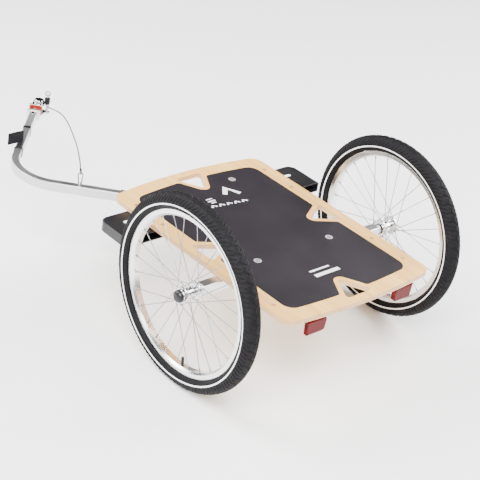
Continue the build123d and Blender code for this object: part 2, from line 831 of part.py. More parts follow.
with BuildPart() as arm_eye:
    eye_plane = Plane(
        origin=arm_level(arm_top).from_local_coords((eye_run, -eye_offset, 0)),
        x_dir=arm_level(0).y_dir,
        z_dir=arm_level(0).x_dir,
    )
    with BuildLine(eye_plane):
        rise = eye_height - eye_half
        foot = Line((-eye_half, 0), (-eye_half, rise))
        CenterArc((0, rise), eye_half, half_circle, -half_circle)
        Line((eye_half, rise), (eye_half, 0))
    with BuildSketch(Plane(origin=foot @ 0, z_dir=(0, 0, 1))):
        Circle(eye_wire)
    sweep()
finish(arm_eye, "arm_eye")

# ---- clamp: a knob and its stud, which grips the quadrant's rim from below ----
clamp_washer_top = strap_bottom - loose_gap
knob_radius = 15.0
knob_height = 17.0
knob_bore = 6.0
knob_scallop = 6.0
knob_scallops = 6
scallop_out = 3.0
knob_edge = 1.5
stud_head_radius = 7.0
with BuildPart() as clamp_stud:
    with BuildSketch(arm_level(clamp_washer_top - knob_bore)):
        with Locations(clamp_place):
            Circle(bolt_radius)
    extrude(amount=arm_top - clamp_washer_top + knob_bore)
    with BuildSketch(arm_level(arm_top)):
        with Locations(clamp_place):
            Circle(stud_head_radius)
    extrude(amount=2)
finish(clamp_stud, "clamp_stud")

with BuildPart() as clamp_knob:
    with BuildSketch(arm_level(clamp_washer_top)):
        with Locations(clamp_place):
            Circle(knob_radius)
    extrude(amount=-knob_height)
    with Locations(arm_level(clamp_washer_top - knob_height / 2)):
        with Locations((clamp_reach, 0)):
            with PolarLocations(knob_radius + scallop_out, knob_scallops):
                Cylinder(knob_scallop, knob_height, mode=Mode.SUBTRACT)
    fillet(clamp_knob.faces().sort_by(Axis.Z)[0].edges(), knob_edge)
    with BuildSketch(arm_level(clamp_washer_top)):
        with Locations(clamp_place):
            Circle(bolt_radius + running_gap)
    extrude(amount=-knob_bore, mode=Mode.SUBTRACT)
finish(clamp_knob, "clamp_knob")

# ---- woven flap on the arm, held by an elastic loop round the tube ----
flap_s = -207.5
loop_s = -243.0
flap_reach = 49.0
flap_height = 34.0
flap_wall = 3.0
flap_overhang = 6.5
flap_corner = 3.0
tail_width = 8.0
tail_wall = 1.6
loop_width = 5.0
loop_wall = 2.0
flap_foot = arm_end_level(arm_top).from_local_coords((flap_s, 0, 0))
with BuildPart() as webbing_flap:
    with BuildSketch(Plane(origin=flap_foot, x_dir=(0, 1, 0), z_dir=(1, 0, 0))):
        with Locations((flap_reach / 2 - flap_overhang, flap_height / 2)):
            RectangleRounded(flap_reach, flap_height, flap_corner)
    extrude(amount=flap_wall / 2, both=True)
    tail_end = loop_s + loop_width / 2
    with BuildSketch(arm_end_level(arm_top)):
        with Locations(((tail_end + flap_s) / 2, 0)):
            Rectangle(flap_s - tail_end, tail_width)
    extrude(amount=tail_wall)
finish(webbing_flap, "webbing_flap")

with BuildPart() as webbing_loop:
    with BuildSketch(arm_end_level(arm_bottom - loop_wall)):
        with Locations((loop_s, 0)):
            Rectangle(loop_width, arm_width + 2 * loop_wall)
    extrude(amount=arm_height + 2 * loop_wall)
    with BuildSketch(arm_end_level(arm_bottom)):
        with Locations((loop_s, 0)):
            Rectangle(loop_width, arm_width)
    extrude(amount=arm_height, mode=Mode.SUBTRACT)
finish(webbing_loop, "webbing_loop")

# ---- hitch: a plug in the arm's end, a rubber block round a cross joint, and the steel head ----
plug_reach = 30.0
block_start = 2 * plate_wall
block_end = block_start + block_length
cross_s = (block_start + block_end) / 2
cavity_width = 28.0
cavity_height = 24.0
cross_radius = 2.5
cross_half = 12.0
fork_wall = 3.0
fork_width = 10.0
cross_boss = 9.0

with BuildPart() as hitch_plug:
    with BuildSketch(arm_end_level(arm_bottom + arm_wall)):
        with Locations((-plug_reach / 2, 0)):
            Rectangle(plug_reach, arm_width - 2 * arm_wall)
    extrude(amount=arm_height - 2 * arm_wall)
    with BuildSketch(arm_end_level(arm_mid_z - block_height / 2)):
        with Locations((plate_wall / 2, 0)):
            Rectangle(plate_wall, block_width)
    extrude(amount=block_height)
    for side in (-1, 1):
        with BuildSketch(arm_end_level(arm_mid_z + side * (cross_half - fork_wall / 2) - fork_wall / 2)):
            with Locations(((plate_wall + cross_s) / 2, 0)):
                Rectangle(cross_s - plate_wall, fork_width)
            with Locations((cross_s, 0)):
                Circle(fork_width / 2)
                Circle(cross_radius + running_gap, mode=Mode.SUBTRACT)
        extrude(amount=fork_wall)
    with BuildSketch(arm_end_level(arm_bottom)):
        with Locations((hitch_bolt_s, 0)):
            Circle(hitch_bolt_radius + pin_gap)
    extrude(amount=arm_height, mode=Mode.SUBTRACT)
finish(hitch_plug, "hitch_plug")

hitch_bolt_end = 3.0
dome_head_radius = 5.0
dome_head_height = 2.6
dome_head_taper = 20
hitch_nut_radius = 5.6
hitch_nut_height = 4.0
with BuildPart() as hitch_bolt:
    with BuildSketch(arm_end_level(arm_bottom - hitch_bolt_end)):
        with Locations((hitch_bolt_s, 0)):
            Circle(hitch_bolt_radius)
    extrude(amount=arm_height + hitch_bolt_end)
    with BuildSketch(arm_end_level(arm_top)):
        with Locations((hitch_bolt_s, 0)):
            Circle(dome_head_radius)
    extrude(amount=dome_head_height, taper=dome_head_taper)
    with BuildSketch(arm_end_level(arm_bottom)):
        with Locations((hitch_bolt_s, 0)):
            RegularPolygon(radius=hitch_nut_radius, side_count=nut_sides)
    extrude(amount=-hitch_nut_height)
finish(hitch_bolt, "hitch_bolt")


def ring_plate(start):
    with BuildPart() as plate:
        with BuildSketch(arm_end_level(arm_mid_z - block_height / 2)):
            with Locations((start + plate_wall / 2, 0)):
                Rectangle(plate_wall, block_width)
        extrude(amount=block_height)
        with BuildSketch(arm_end_level(arm_mid_z - cavity_height / 2 - loose_gap)):
            with Locations((start + plate_wall / 2, 0)):
                Rectangle(plate_wall, cavity_width)
        extrude(amount=cavity_height + 2 * loose_gap, mode=Mode.SUBTRACT)
    return plate


finish(ring_plate(plate_wall), "flex_plate_rear")
finish(ring_plate(block_end), "flex_plate_front")

with BuildPart() as flex_block:
    waist = 4.0
    with BuildSketch(arm_end_level(arm_mid_z - block_height / 2)):
        with BuildLine():
            half = block_width / 2
            Line((block_start, -half), (block_start, half))
            ThreePointArc((block_start, half), (cross_s, half - waist), (block_end, half))
            Line((block_end, half), (block_end, -half))
            ThreePointArc((block_end, -half), (cross_s, waist - half), (block_start, -half))
        make_face()
    extrude(amount=block_height)
    with BuildSketch(arm_end_level(arm_mid_z - cavity_height / 2 - loose_gap)):
        with Locations((cross_s, 0)):
            Rectangle(block_length, cavity_width)
    extrude(amount=cavity_height + 2 * loose_gap, mode=Mode.SUBTRACT)
finish(flex_block, "flex_block")

with BuildPart() as flex_cross:
    with BuildSketch(arm_end_level(arm_mid_z - cross_half)):
        with Locations((cross_s, 0)):
            Circle(cross_radius)
    extrude(amount=2 * cross_half)
    cross_plane = Plane(
        origin=arm_end_level(arm_mid_z).from_local_coords((cross_s, 0, 0)), z_dir=arm_end_level(0).y_dir
    )
    with BuildSketch(cross_plane):
        Circle(cross_radius)
    extrude(amount=cross_half, both=True)
    with BuildSketch(arm_end_level(arm_mid_z - cross_boss / 2)):
        with Locations((cross_s, 0)):
            Rectangle(cross_boss, cross_boss)
    extrude(amount=cross_boss)
finish(flex_cross, "flex_cross")

# The cable's tube is straight runs joined by arcs, and starts at a fitting under a lug of the head.
route = [Vector(*at(*point)) for point in cable_route]
corner_share = 0.45
corner_radii = []
for before, corner, after in zip(route, route[1:], route[2:]):
    run_in = corner - before
    run_out = after - corner
    half_turn = radians(run_in.get_angle(run_out)) / 2
    corner_radii.append(corner_share * min(run_in.length, run_out.length) / tan(half_turn))

leave = (route[1] - route[0]).normalized()
arrive = (route[-1] - route[-2]).normalized()
fitting_radius = 3.5
fitting_length = 8.0
neck_step = 5.0
neck_side = 5.0
neck = route[0] - leave * neck_step
lug_radius = 5.5
lug_place = arm_end_level(0).to_local_coords(neck)

# The head: a web, two fork arms back to the cross, and two cheeks with an ear for the lock pin.
cheek_start = head_s + cheek_wall
pin_s = head_s + lock_pin_s
ear_radius = 8.0
tongue_mid_z = arm_mid_z
lower_cheek = tongue_mid_z - tongue_gap / 2 - cheek_wall
upper_cheek = tongue_mid_z + tongue_gap / 2
dome_radius = 15.5
dome_height = 9.0
dome_taper = 12
dome_round = 5.0
rivet_side = 6.0
cheek_rivet_radius = 2.6
with BuildPart() as hitch_head:
    with BuildSketch(arm_end_level(lower_cheek)):
        with Locations((head_s + cheek_wall / 2, 0)):
            Rectangle(cheek_wall, block_width)
    extrude(amount=tongue_gap + 2 * cheek_wall)
    for bottom in (lower_cheek, upper_cheek):
        with BuildSketch(arm_end_level(bottom)):
            with Locations(((cheek_start + cheek_s) / 2, cheek_offset)):
                Rectangle(cheek_s - cheek_start, 2 * cheek_radius)
            with Locations((cheek_s, cheek_offset)):
                Circle(cheek_radius)
            with Locations((pin_s, (lock_pin_t + cheek_offset) / 2)):
                Rectangle(2 * ear_radius, cheek_offset - lock_pin_t)
            with Locations((pin_s, lock_pin_t)):
                Circle(ear_radius)
        extrude(amount=cheek_wall)
    with BuildSketch(arm_end_level(upper_cheek)):
        with Locations((lug_place.X, lug_place.Y)):
            Circle(lug_radius)
    extrude(amount=cheek_wall)
    with BuildSketch(arm_end_level(lower_cheek)):
        with Locations((pin_s, lock_pin_t)):
            Circle(lock_pin_radius + pin_gap)
    extrude(amount=tongue_gap + 2 * cheek_wall, mode=Mode.SUBTRACT)
    for side in (-1, 1):
        with BuildSketch(arm_end_level(arm_mid_z - fork_width / 2)):
            with Locations(((cross_s + head_s - fork_width / 2) / 2, side * (cross_half - fork_wall / 2))):
                Rectangle(head_s - cross_s + fork_width / 2, fork_wall)
        extrude(amount=fork_width)
    with BuildSketch(cross_plane):
        Circle(cross_radius + running_gap)
    extrude(amount=cross_half + 1, both=True, mode=Mode.SUBTRACT)
    with BuildSketch(arm_end_level(upper_cheek + cheek_wall)):
        with Locations((cheek_s, cheek_offset)):
            Circle(dome_radius)
    extrude(amount=dome_height, taper=dome_taper)
    fillet(hitch_head.faces().sort_by(Axis.Z)[-1].edges(), dome_round)
    with BuildSketch(arm_end_level(upper_cheek + cheek_wall)):
        with Locations((cheek_start + 2, cheek_offset + rivet_side)):
            Circle(cheek_rivet_radius)
    extrude(amount=2)
finish(hitch_head, "hitch_head")

# ---- lock pin beside the dome: a pull ring on top and a ribbed rubber sleeve below it ----
sleeve_bottom = upper_cheek + cheek_wall
sleeve_radius = 8.0
rib = 2.6
rib_share = 0.6
rib_depth = 1.4
ribs = 6
pin_top = sleeve_bottom + rib * ribs + 2
ring_radius = 7.0
ring_wire = 1.6
tab_height = 8.0
tab_length = 8.0
tab_wall = 4.0
ring_bore = ring_wire + 0.5
with BuildPart() as lock_pin:
    with BuildSketch(arm_end_level(lower_cheek - 2)):
        with Locations((pin_s, lock_pin_t)):
            Circle(lock_pin_radius)
    extrude(amount=pin_top - lower_cheek + 2)
    with BuildSketch(arm_end_level(pin_top)):
        with Locations((pin_s, lock_pin_t)):
            Rectangle(tab_length, tab_wall)
    extrude(amount=tab_height)
    ring_plane = Plane(
        origin=arm_end_level(pin_top + tab_height / 2).from_local_coords((pin_s, lock_pin_t, 0)),
        x_dir=arm_end_level(0).x_dir,
        z_dir=arm_end_level(0).y_dir,
    )
    with BuildSketch(ring_plane):
        Circle(ring_bore)
    extrude(amount=tab_wall, both=True, mode=Mode.SUBTRACT)
finish(lock_pin, "lock_pin")

hoop_z = pin_top + tab_height / 2 + ring_radius
with BuildPart() as pull_ring:
    hoop_plane = Plane(
        origin=arm_end_level(hoop_z).from_local_coords((pin_s, lock_pin_t, 0)),
        x_dir=arm_end_level(0).y_dir,
        z_dir=arm_end_level(0).x_dir,
    )
    with Locations(hoop_plane):
        Torus(ring_radius, ring_wire)
finish(pull_ring, "pull_ring")

with BuildPart() as pin_sleeve:
    sleeve_plane = Plane(
        origin=arm_end_level(sleeve_bottom).from_local_coords((pin_s, lock_pin_t, 0)), z_dir=(0, 0, 1)
    )
    for i in range(ribs):
        with BuildSketch(sleeve_plane.offset(i * rib)):
            Circle(sleeve_radius)
        extrude(amount=rib * rib_share)
        with BuildSketch(sleeve_plane.offset((i + rib_share) * rib)):
            Circle(sleeve_radius - rib_depth)
        extrude(amount=rib * (1 - rib_share))
    with BuildSketch(sleeve_plane):
        Circle(lock_pin_radius + loose_gap)
    extrude(amount=rib * ribs, mode=Mode.SUBTRACT)
finish(pin_sleeve, "pin_sleeve")

# ---- safety cable from the head to the eye on the arm, with its fitting, end and snap link ----
with BuildPart() as cable_fitting:
    with BuildSketch(Plane(origin=route[0], z_dir=leave)):
        Circle(fitting_radius)
    extrude(amount=-fitting_length)
    with BuildSketch(Plane(origin=(neck.X, neck.Y, neck.Z), z_dir=(0, 0, 1))):
        Rectangle(neck_side, neck_side)
    extrude(amount=upper_cheek - neck.Z)
finish(cable_fitting, "cable_fitting")

with BuildPart() as safety_cable:
    with BuildLine() as cable_line:
        FilletPolyline(*route, radius=corner_radii)
    with BuildSketch(Plane(origin=route[0], z_dir=leave)):
        Circle(cable_diameter / 2)
    sweep()
finish(safety_cable, "safety_cable")

ferrule_radius = 3.2
ferrule_length = 18.0
end_eye_radius = 4.6
end_eye_wire = 1.2
link_wire = 1.7
link_top_radius = 6.2
link_bottom_radius = 3.8
link_lift = 0.5
link_height = 33.0
link_low = arm_top + link_wire + link_lift
link_centres = (link_low + link_bottom_radius, link_low + link_height - link_top_radius)
eye_centre = route[-1] + arrive * (ferrule_length + end_eye_radius)
with BuildPart() as cable_end:
    with BuildSketch(Plane(origin=route[-1], z_dir=arrive)):
        Circle(ferrule_radius)
    extrude(amount=ferrule_length)
    with Locations(Plane(origin=eye_centre, x_dir=arrive, z_dir=arm_level(0).x_dir)):
        Torus(end_eye_radius, end_eye_wire)
finish(cable_end, "cable_end")

# The snap link is a tapered loop of wire standing in the eye.
link_foot = arm_level(0).from_local_coords((eye_run, -eye_offset - 1.0, 0))
link_plane = Plane(origin=(link_foot.X, link_foot.Y, 0), x_dir=arm_level(0).x_dir, z_dir=-arm_level(0).y_dir)
lean = asin((link_top_radius - link_bottom_radius) / (link_centres[1] - link_centres[0]))
with BuildPart() as snap_link:
    with BuildLine(link_plane):
        lean_degrees = degrees(lean)
        low_right = (link_bottom_radius * cos(lean), link_centres[0] - link_bottom_radius * sin(lean))
        high_right = (link_top_radius * cos(lean), link_centres[1] - link_top_radius * sin(lean))
        side_line = Line(low_right, high_right)
        CenterArc((0, link_centres[1]), link_top_radius, -lean_degrees, half_circle + 2 * lean_degrees)
        Line((-high_right[0], high_right[1]), (-low_right[0], low_right[1]))
        foot_turn = half_circle - 2 * lean_degrees
        CenterArc((0, link_centres[0]), link_bottom_radius, half_circle + lean_degrees, foot_turn)
    with BuildSketch(Plane(origin=side_line @ 0, z_dir=side_line % 0)):
        Circle(link_wire)
    sweep()
finish(snap_link, "snap_link")

section = pi * (cable_diameter / 2) ** 2
print("cable radii", [round(radius) for radius in corner_radii])
route_length = sum(edge.length for edge in cable_line.edges())
print("cable length", round(route_length, 1))
print("volume over section times length", round(safety_cable.part.volume / (section * route_length), 4))

os.makedirs("parts", exist_ok=True)
for piece in made:
    export_step(piece, "parts/" + piece.label + ".step")
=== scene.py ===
# Flatbed bicycle trailer: looks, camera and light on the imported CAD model.
import math

import bmesh
import bpy
import numpy as np
from mathutils import Matrix, Vector


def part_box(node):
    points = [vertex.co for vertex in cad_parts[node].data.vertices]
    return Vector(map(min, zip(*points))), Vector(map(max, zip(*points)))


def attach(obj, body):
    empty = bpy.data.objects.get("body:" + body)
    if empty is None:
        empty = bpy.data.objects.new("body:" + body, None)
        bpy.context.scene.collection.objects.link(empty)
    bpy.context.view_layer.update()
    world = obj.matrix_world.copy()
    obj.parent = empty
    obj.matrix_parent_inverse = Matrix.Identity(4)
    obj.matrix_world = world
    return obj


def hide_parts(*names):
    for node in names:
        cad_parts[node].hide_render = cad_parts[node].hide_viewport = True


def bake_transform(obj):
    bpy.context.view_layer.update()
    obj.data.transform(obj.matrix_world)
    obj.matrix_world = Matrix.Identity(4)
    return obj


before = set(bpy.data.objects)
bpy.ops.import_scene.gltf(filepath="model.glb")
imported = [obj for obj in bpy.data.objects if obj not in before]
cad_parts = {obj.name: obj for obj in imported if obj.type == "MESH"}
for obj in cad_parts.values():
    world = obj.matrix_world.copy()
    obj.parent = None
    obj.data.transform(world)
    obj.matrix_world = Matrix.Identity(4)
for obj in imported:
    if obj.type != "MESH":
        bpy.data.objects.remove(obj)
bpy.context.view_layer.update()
print("frame loaded:", len(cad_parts), "nodes")

# metres, and the lens and its sensor in millimetres
cameraValues = {
    "place": (-2.38648, 2.26703, 1.99461),
    "target": (-0.24800, 0.06264, 0.25000),
    "up": (0.4569, -0.2356, 0.8578),
    "lens": 103.53,
    "sensor": 36.0,
    "far": 50.0,
}


def addCamera(values):
    data = bpy.data.cameras.new("camera")
    data.lens = values["lens"]
    data.sensor_width = values["sensor"]
    data.clip_end = values["far"]
    camera = bpy.data.objects.new("camera", data)
    bpy.context.scene.collection.objects.link(camera)
    place = Vector(values["place"])
    forward = (Vector(values["target"]) - place).normalized()
    right = forward.cross(Vector(values["up"])).normalized()
    upward = right.cross(forward)
    turn = Matrix((right, upward, -forward)).transposed().to_4x4()
    camera.matrix_world = Matrix.Translation(place) @ turn
    bpy.context.scene.camera = camera


addCamera(cameraValues)

lightValues = {
    # brightness of the surroundings at the horizon and of the sky above it
    "horizon": 1.3,
    "upperSky": 0.42,
    # upward parts of the direction between which the one fades into the other
    "fadeFrom": 0.05,
    "fadeTo": 0.40,
    "backdrop": 2.6,
    "floorSide": 30.0,
    "floorShade": 0.95,
    "floorRoughness": 0.9,
    # place, size and watts of each soft light, and the point that they all look at
    "lights": [
        ((-2.6, 3.2, 4.2), 3.4, 1000.0),
        ((2.8, 2.2, 3.4), 2.8, 520.0),
        ((-1.4, -3.4, 3.0), 3.2, 520.0),
    ],
    "aim": (-0.1, 0.0, 0.25),
}


def addLight(place, side, watts, target):
    data = bpy.data.lights.new("softLight", "AREA")
    data.size = side
    data.energy = watts
    light = bpy.data.objects.new("softLight", data)
    bpy.context.scene.collection.objects.link(light)
    aim = (Vector(target) - Vector(place)).normalized()
    turn = aim.to_track_quat("-Z", "Y").to_matrix().to_4x4()
    light.matrix_world = Matrix.Translation(place) @ turn


def addStage(values):
    world = bpy.data.worlds.new("studio")
    world.use_nodes = True
    # A pale band at the horizon under a dimmer sky gives metal something to reflect.
    tree = world.node_tree
    way = tree.nodes.new("ShaderNodeTexCoord")
    parts = tree.nodes.new("ShaderNodeSeparateXYZ")
    fade = tree.nodes.new("ShaderNodeMapRange")
    fade.inputs["From Min"].default_value = values["fadeFrom"]
    fade.inputs["From Max"].default_value = values["fadeTo"]
    fade.inputs["To Min"].default_value = values["horizon"]
    fade.inputs["To Max"].default_value = values["upperSky"]
    tree.links.new(way.outputs["Generated"], parts.inputs["Vector"])
    tree.links.new(parts.outputs["Z"], fade.inputs["Value"])
    seen = tree.nodes.new("ShaderNodeLightPath")
    pale = tree.nodes.new("ShaderNodeMath")
    pale.operation = "MULTIPLY"
    pale.inputs[1].default_value = values["backdrop"]
    brighter = tree.nodes.new("ShaderNodeMath")
    brighter.operation = "MAXIMUM"
    tree.links.new(seen.outputs["Is Camera Ray"], pale.inputs[0])
    tree.links.new(pale.outputs["Value"], brighter.inputs[0])
    tree.links.new(fade.outputs["Result"], brighter.inputs[1])
    tree.links.new(brighter.outputs["Value"], tree.nodes["Background"].inputs["Strength"])
    bpy.context.scene.world = world
    half = values["floorSide"] / 2
    mesh = bpy.data.meshes.new("floor")
    corners = [(-half, -half, 0), (half, -half, 0), (half, half, 0), (-half, half, 0)]
    mesh.from_pydata(corners, [], [(0, 1, 2, 3)])
    floor = bpy.data.objects.new("floor", mesh)
    bpy.context.scene.collection.objects.link(floor)
    paint = bpy.data.materials.new("floorPaint")
    paint.use_nodes = True
    shader = paint.node_tree.nodes["Principled BSDF"]
    shade = values["floorShade"]
    shader.inputs["Base Color"].default_value = (shade, shade, shade, 1)
    shader.inputs["Roughness"].default_value = values["floorRoughness"]
    mesh.materials.append(paint)
    for place, side, watts in values["lights"]:
        addLight(place, side, watts, values["aim"])


addStage(lightValues)
print("camera and lights set")


def meshFromGrid(name, points, closedU, closedV):
    # points is a (rows, columns, 3) array; u runs along the rows, v along the columns.
    rows, columns = points.shape[:2]
    uCount = rows if closedU else rows - 1
    vCount = columns if closedV else columns - 1
    u, v = np.arange(uCount), np.arange(vCount)
    uNext, vNext = (u + 1) % rows, (v + 1) % columns
    a = (u[:, None] * columns + v[None, :]).ravel()
    b = (uNext[:, None] * columns + v[None, :]).ravel()
    c = (uNext[:, None] * columns + vNext[None, :]).ravel()
    d = (u[:, None] * columns + vNext[None, :]).ravel()
    faces = np.stack([a, b, c, d], 1)
    mesh = bpy.data.meshes.new(name)
    mesh.vertices.add(rows * columns)
    mesh.vertices.foreach_set("co", points.reshape(-1).astype(np.float32))
    mesh.loops.add(faces.size)
    mesh.loops.foreach_set("vertex_index", faces.ravel().astype(np.int32))
    mesh.polygons.add(len(faces))
    mesh.polygons.foreach_set("loop_start", np.arange(0, faces.size, 4, dtype=np.int32))
    mesh.polygons.foreach_set("loop_total", np.full(len(faces), 4, np.int32))
    mesh.polygons.foreach_set("use_smooth", np.full(len(faces), True))
    # The UV map holds the two parameters, and runs on past 1 at a closing seam.
    uv = mesh.uv_layers.new(name="parameters")
    uGrid, vGrid = np.meshgrid(u, v, indexing="ij")
    uCorner = np.stack([uGrid, uGrid + 1, uGrid + 1, uGrid], -1).reshape(-1) / uCount
    vCorner = np.stack([vGrid, vGrid, vGrid + 1, vGrid + 1], -1).reshape(-1) / vCount
    uv.data.foreach_set("uv", np.stack([uCorner, vCorner], 1).ravel().astype(np.float32))
    mesh.update(calc_edges=True)
    mesh.validate()
    return mesh


def addPiece(name, mesh, material, body=None, replaced=()):
    piece = bpy.data.objects.new(name, mesh)
    bpy.context.scene.collection.objects.link(piece)
    mesh.materials.clear()
    mesh.materials.append(material)
    if body:
        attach(piece, body)
    if replaced:
        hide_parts(*replaced)
    return piece


def pointOutwards(mesh):
    work = bmesh.new()
    work.from_mesh(mesh)
    bmesh.ops.recalc_face_normals(work, faces=work.faces)
    work.to_mesh(mesh)
    work.free()


def closeEnds(mesh, rows, columns):
    # Fans over the first and last ring of an open tube whose v direction is closed.
    work = bmesh.new()
    work.from_mesh(mesh)
    work.verts.ensure_lookup_table()
    for start in (0, (rows - 1) * columns):
        work.faces.new([work.verts[start + i] for i in range(columns)])
    bmesh.ops.recalc_face_normals(work, faces=work.faces)
    work.to_mesh(mesh)
    work.free()


class Finish:
    # A material with short calls for the nodes that the finishes below share.
    def __init__(self, name, color, roughness, metallic=0.0):
        self.material = bpy.data.materials.new(name)
        self.material.use_nodes = True
        self.tree = self.material.node_tree
        self.shader = self.tree.nodes["Principled BSDF"]
        self.set("Base Color", (*color, 1))
        self.set("Roughness", roughness)
        self.set("Metallic", metallic)

    def set(self, socket, value):
        self.shader.inputs[socket].default_value = value

    def node(self, kind, inputs=None, **settings):
        node = self.tree.nodes.new(kind)
        for key, value in settings.items():
            setattr(node, key, value)
        for key, value in (inputs or {}).items():
            if isinstance(value, bpy.types.NodeSocket):
                self.tree.links.new(value, node.inputs[key])
            else:
                node.inputs[key].default_value = value
        return node

    def place(self, scale=(1, 1, 1), shift=(0, 0, 0), uv=False):
        source = self.node("ShaderNodeTexCoord").outputs["UV" if uv else "Object"]
        inputs = {"Vector": source, "Location": shift, "Scale": scale}
        return self.node("ShaderNodeMapping", inputs).outputs["Vector"]

    def noise(self, scale, detail=3.0, vector=None, roughness=0.55):
        inputs = {"Scale": scale, "Detail": detail, "Roughness": roughness}
        inputs["Vector"] = vector if vector is not None else self.place()
        return self.node("ShaderNodeTexNoise", inputs).outputs["Fac"]

    def cells(self, scale, randomness=1.0):
        inputs = {"Vector": self.place(), "Scale": scale, "Randomness": randomness}
        return self.node("ShaderNodeTexVoronoi", inputs).outputs["Distance"]

    def math(self, operation, first, second=0.0, third=0.0):
        inputs = {0: first, 1: second}
        if operation == "MULTIPLY_ADD":
            inputs[2] = third
        return self.node("ShaderNodeMath", inputs, operation=operation).outputs[0]

    def spread(self, value, low, high, fromLow=0.0, fromHigh=1.0):
        inputs = {"Value": value, "From Min": fromLow, "From Max": fromHigh}
        inputs.update({"To Min": low, "To Max": high})
        return self.node("ShaderNodeMapRange", inputs).outputs["Result"]

    def mix(self, factor, first, second):
        node = self.node("ShaderNodeMix", data_type="RGBA")
        for key, value in ((0, factor), (6, first), (7, second)):
            if isinstance(value, bpy.types.NodeSocket):
                self.tree.links.new(value, node.inputs[key])
            elif key == 0:
                node.inputs[0].default_value = value
            else:
                node.inputs[key].default_value = (*value, 1)
        return node.outputs[2]

    def axes(self, scale=(1, 1, 1), shift=(0, 0, 0), uv=False):
        return self.node("ShaderNodeSeparateXYZ", {"Vector": self.place(scale, shift, uv)}).outputs

    def join(self, socket, value):
        self.tree.links.new(value, self.shader.inputs[socket])

    def bump(self, height, distance, strength=0.6):
        inputs = {"Height": height, "Distance": distance, "Strength": strength}
        self.join("Normal", self.node("ShaderNodeBump", inputs).outputs["Normal"])
        return self


plyValues = {
    "plies": 9,
    "glueLine": 0.16,
}


def birchPly(deckTop, deckWall, values):
    # Pale birch with long grain on the faces, and thin dark glue lines on the edge.
    finish = Finish("birchPly", (0.86, 0.66, 0.42), 0.48)
    grain = finish.noise(1.0, 6.0, finish.place((2.6, 62.0, 62.0)), 0.62)
    figure = finish.noise(1.0, 2.0, finish.place((0.9, 7.5, 7.5), (3.1, 0.4, 0.0)), 0.5)
    dark = finish.spread(grain, 0.0, 1.0, 0.34, 0.68)
    pale = finish.mix(dark, (0.84, 0.51, 0.165), (0.64, 0.33, 0.085))
    face = finish.mix(finish.spread(figure, 0.0, 0.5, 0.42, 0.66), pale, (0.74, 0.41, 0.12))
    height = finish.axes()["Z"]
    rise = finish.math("SUBTRACT", height, deckTop - deckWall)
    layer = finish.math("MULTIPLY", rise, values["plies"] / deckWall)
    ply = finish.math("PINGPONG", layer, 1.0)
    line = finish.spread(ply, 1.0, 0.0, 0.0, values["glueLine"])
    odd = finish.spread(finish.math("PINGPONG", layer, 2.0), 0.0, 1.0, 0.7, 1.3)
    core = finish.mix(odd, (0.56, 0.31, 0.13), (0.76, 0.50, 0.25))
    core = finish.mix(finish.spread(grain, 0.0, 0.35, 0.3, 0.7), core, (0.40, 0.20, 0.08))
    edge = finish.mix(line, core, (0.24, 0.11, 0.04))
    facing = finish.node("ShaderNodeNewGeometry").outputs["Normal"]
    normal = finish.node("ShaderNodeSeparateXYZ", {"Vector": facing})
    flat = finish.spread(finish.math("ABSOLUTE", normal.outputs["Z"]), 0.0, 1.0, 0.45, 0.75)
    finish.join("Base Color", finish.mix(flat, edge, face))
    finish.join("Roughness", finish.spread(grain, 0.40, 0.56))
    finish.set("Coat Weight", 0.18)
    finish.set("Coat Roughness", 0.3)
    return finish.bump(grain, 0.0004, 0.35).material


def deckFilm():
    # Dark film with a fine press pattern and faint wear.
    finish = Finish("deckFilm", (0.017, 0.014, 0.018), 0.5)
    wear = finish.noise(9.0, 5.0)
    worn = finish.spread(wear, 0.0, 1.0, 0.35, 0.7)
    tone = finish.mix(worn, (0.0095, 0.0072, 0.0102), (0.0130, 0.0102, 0.0137))
    finish.join("Base Color", tone)
    finish.join("Roughness", finish.spread(wear, 0.48, 0.60))
    finish.set("Specular IOR Level", 0.35)
    return finish.bump(finish.cells(520.0), 0.0003, 0.3).material


def brushedMetal(name, color, roughness, streak):
    # Streaks run across the axes that streak scales up.
    finish = Finish(name, color, roughness, 1.0)
    lines = finish.noise(1.0, 4.0, finish.place(streak), 0.6)
    cloud = finish.noise(6.0, 3.0)
    low = tuple(0.9 * part for part in color)
    finish.join("Base Color", finish.mix(finish.spread(lines, 0.0, 1.0, 0.3, 0.7), low, color))
    fine = finish.spread(lines, -0.07, 0.09)
    broad = finish.spread(cloud, roughness - 0.04, roughness + 0.05)
    finish.join("Roughness", finish.math("ADD", fine, broad))
    return finish.bump(lines, 0.00006, 0.25).material


def ringMetal(name, color, roughness, centre, lines):
    # Fine turned rings about an axle along Y through centre, an (x, z) pair.
    finish = Finish(name, color, roughness, 1.0)
    axes = finish.axes(shift=(-centre[0], 0, -centre[1]))
    across = finish.node("ShaderNodeCombineXYZ", {"X": axes["X"], "Z": axes["Z"]}).outputs["Vector"]
    reach = finish.node("ShaderNodeVectorMath", {0: across}, operation="LENGTH").outputs["Value"]
    turned = finish.node("ShaderNodeCombineXYZ", {"X": reach, "Y": axes["Y"]}).outputs["Vector"]
    ring = finish.noise(lines, 3.0, turned, 0.6)
    smudge = finish.noise(24.0, 3.0)
    low = tuple(0.88 * part for part in color)
    finish.join("Base Color", finish.mix(finish.spread(ring, 0.0, 1.0, 0.3, 0.7), low, color))
    fine = finish.spread(ring, -0.06, 0.07)
    broad = finish.spread(smudge, roughness - 0.03, roughness + 0.05)
    finish.join("Roughness", finish.math("ADD", fine, broad))
    return finish.bump(ring, 0.00005, 0.22).material


